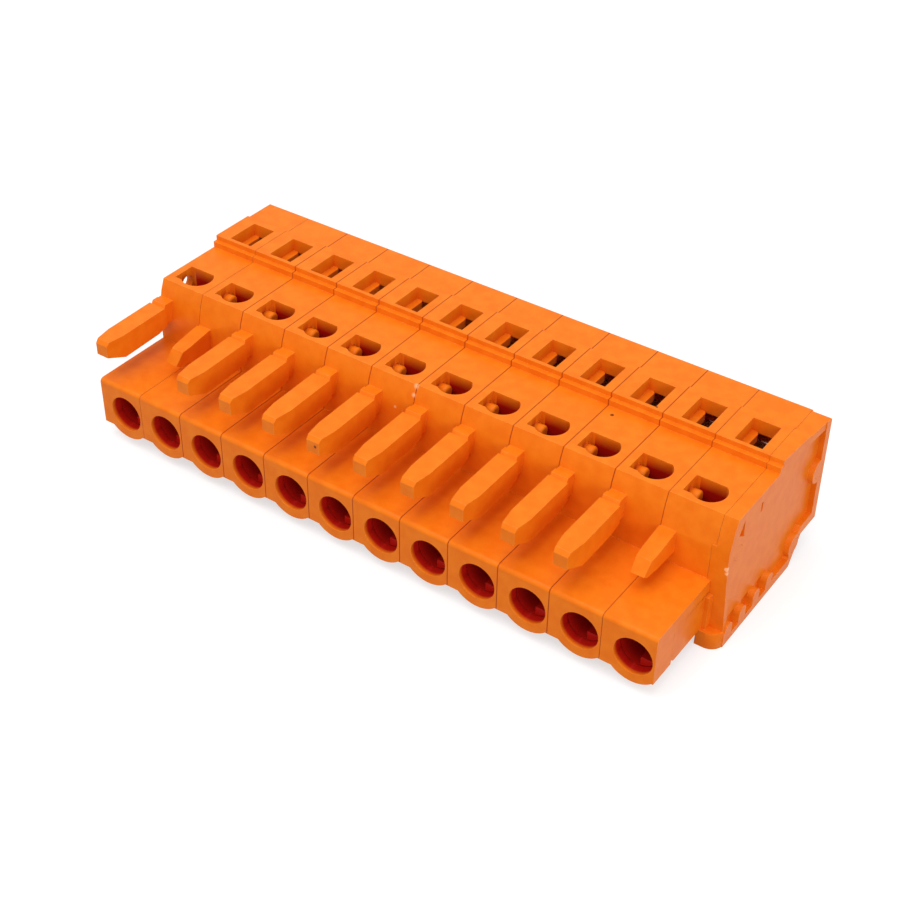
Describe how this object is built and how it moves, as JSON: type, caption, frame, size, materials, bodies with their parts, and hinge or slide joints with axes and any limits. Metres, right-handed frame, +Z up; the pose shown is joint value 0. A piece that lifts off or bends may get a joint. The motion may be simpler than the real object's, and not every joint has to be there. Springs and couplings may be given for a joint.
{
  "type": "pluggable terminal block",
  "caption": "Stacked pluggable terminal block with cage clamp springs, a socketed plug nose and break-off coding fingers.",
  "frame": {"origin": "middle of the whole outline, on the surface that the underside rests on", "axes": "+X along the row of poles towards the end plate, +Y from the plug nose towards the wire entries, +Z up"},
  "size_m": [0.063, 0.0262, 0.0142],
  "materials": {
    "housing_plastic": "satin moulded polyamide",
    "contact_metal": "tin plated copper alloy",
    "spring_steel": "bright spring steel"
  },
  "bodies": {
    "block": {"pole_01": "housing_plastic", "pole_02": "housing_plastic", "pole_03": "housing_plastic", "pole_04": "housing_plastic", "pole_05": "housing_plastic", "pole_06": "housing_plastic", "pole_07": "housing_plastic", "pole_08": "housing_plastic", "pole_09": "housing_plastic", "pole_10": "housing_plastic", "pole_11": "housing_plastic", "pole_12": "housing_plastic", "contact_01": "contact_metal", "contact_02": "contact_metal", "contact_03": "contact_metal", "contact_04": "contact_metal", "contact_05": "contact_metal", "contact_06": "contact_metal", "contact_07": "contact_metal", "contact_08": "contact_metal", "contact_09": "contact_metal", "contact_10": "contact_metal", "contact_11": "contact_metal", "contact_12": "contact_metal", "end_plate": "housing_plastic"},
    "spring_01": {"clamp_01": "spring_steel"},
    "spring_02": {"clamp_02": "spring_steel"},
    "spring_03": {"clamp_03": "spring_steel"},
    "spring_04": {"clamp_04": "spring_steel"},
    "spring_05": {"clamp_05": "spring_steel"},
    "spring_06": {"clamp_06": "spring_steel"},
    "spring_07": {"clamp_07": "spring_steel"},
    "spring_08": {"clamp_08": "spring_steel"},
    "spring_09": {"clamp_09": "spring_steel"},
    "spring_10": {"clamp_10": "spring_steel"},
    "spring_11": {"clamp_11": "spring_steel"},
    "spring_12": {"clamp_12": "spring_steel"}
  },
  "joints": [
    {"name": "clamp_flex_01", "type": "hinge", "parent": "block", "child": "spring_01", "pos_m": [-0.02845, 0.00249, 0.00955], "axis": [1, 0, 0], "range_deg": [-18, 0], "stiffness_Nm_per_rad": 0.02, "springref_deg": 2.86},
    {"name": "clamp_flex_02", "type": "hinge", "parent": "block", "child": "spring_02", "pos_m": [-0.02337, 0.00249, 0.00955], "axis": [1, 0, 0], "range_deg": [-18, 0], "stiffness_Nm_per_rad": 0.02, "springref_deg": 2.86},
    {"name": "clamp_flex_03", "type": "hinge", "parent": "block", "child": "spring_03", "pos_m": [-0.01828, 0.00249, 0.00955], "axis": [1, 0, 0], "range_deg": [-18, 0], "stiffness_Nm_per_rad": 0.02, "springref_deg": 2.86},
    {"name": "clamp_flex_04", "type": "hinge", "parent": "block", "child": "spring_04", "pos_m": [-0.0132, 0.00249, 0.00955], "axis": [1, 0, 0], "range_deg": [-18, 0], "stiffness_Nm_per_rad": 0.02, "springref_deg": 2.86},
    {"name": "clamp_flex_05", "type": "hinge", "parent": "block", "child": "spring_05", "pos_m": [-0.00813, 0.00249, 0.00955], "axis": [1, 0, 0], "range_deg": [-18, 0], "stiffness_Nm_per_rad": 0.02, "springref_deg": 2.86},
    {"name": "clamp_flex_06", "type": "hinge", "parent": "block", "child": "spring_06", "pos_m": [-0.00304, 0.00249, 0.00955], "axis": [1, 0, 0], "range_deg": [-18, 0], "stiffness_Nm_per_rad": 0.02, "springref_deg": 2.86},
    {"name": "clamp_flex_07", "type": "hinge", "parent": "block", "child": "spring_07", "pos_m": [0.00203, 0.00249, 0.00955], "axis": [1, 0, 0], "range_deg": [-18, 0], "stiffness_Nm_per_rad": 0.02, "springref_deg": 2.86},
    {"name": "clamp_flex_08", "type": "hinge", "parent": "block", "child": "spring_08", "pos_m": [0.00711, 0.00249, 0.00955], "axis": [1, 0, 0], "range_deg": [-18, 0], "stiffness_Nm_per_rad": 0.02, "springref_deg": 2.86},
    {"name": "clamp_flex_09", "type": "hinge", "parent": "block", "child": "spring_09", "pos_m": [0.01219, 0.00249, 0.00955], "axis": [1, 0, 0], "range_deg": [-18, 0], "stiffness_Nm_per_rad": 0.02, "springref_deg": 2.86},
    {"name": "clamp_flex_10", "type": "hinge", "parent": "block", "child": "spring_10", "pos_m": [0.01727, 0.00249, 0.00955], "axis": [1, 0, 0], "range_deg": [-18, 0], "stiffness_Nm_per_rad": 0.02, "springref_deg": 2.86},
    {"name": "clamp_flex_11", "type": "hinge", "parent": "block", "child": "spring_11", "pos_m": [0.02235, 0.00249, 0.00955], "axis": [1, 0, 0], "range_deg": [-18, 0], "stiffness_Nm_per_rad": 0.02, "springref_deg": 2.86},
    {"name": "clamp_flex_12", "type": "hinge", "parent": "block", "child": "spring_12", "pos_m": [0.02744, 0.00249, 0.00955], "axis": [1, 0, 0], "range_deg": [-18, 0], "stiffness_Nm_per_rad": 0.02, "springref_deg": 2.86}
  ]
}
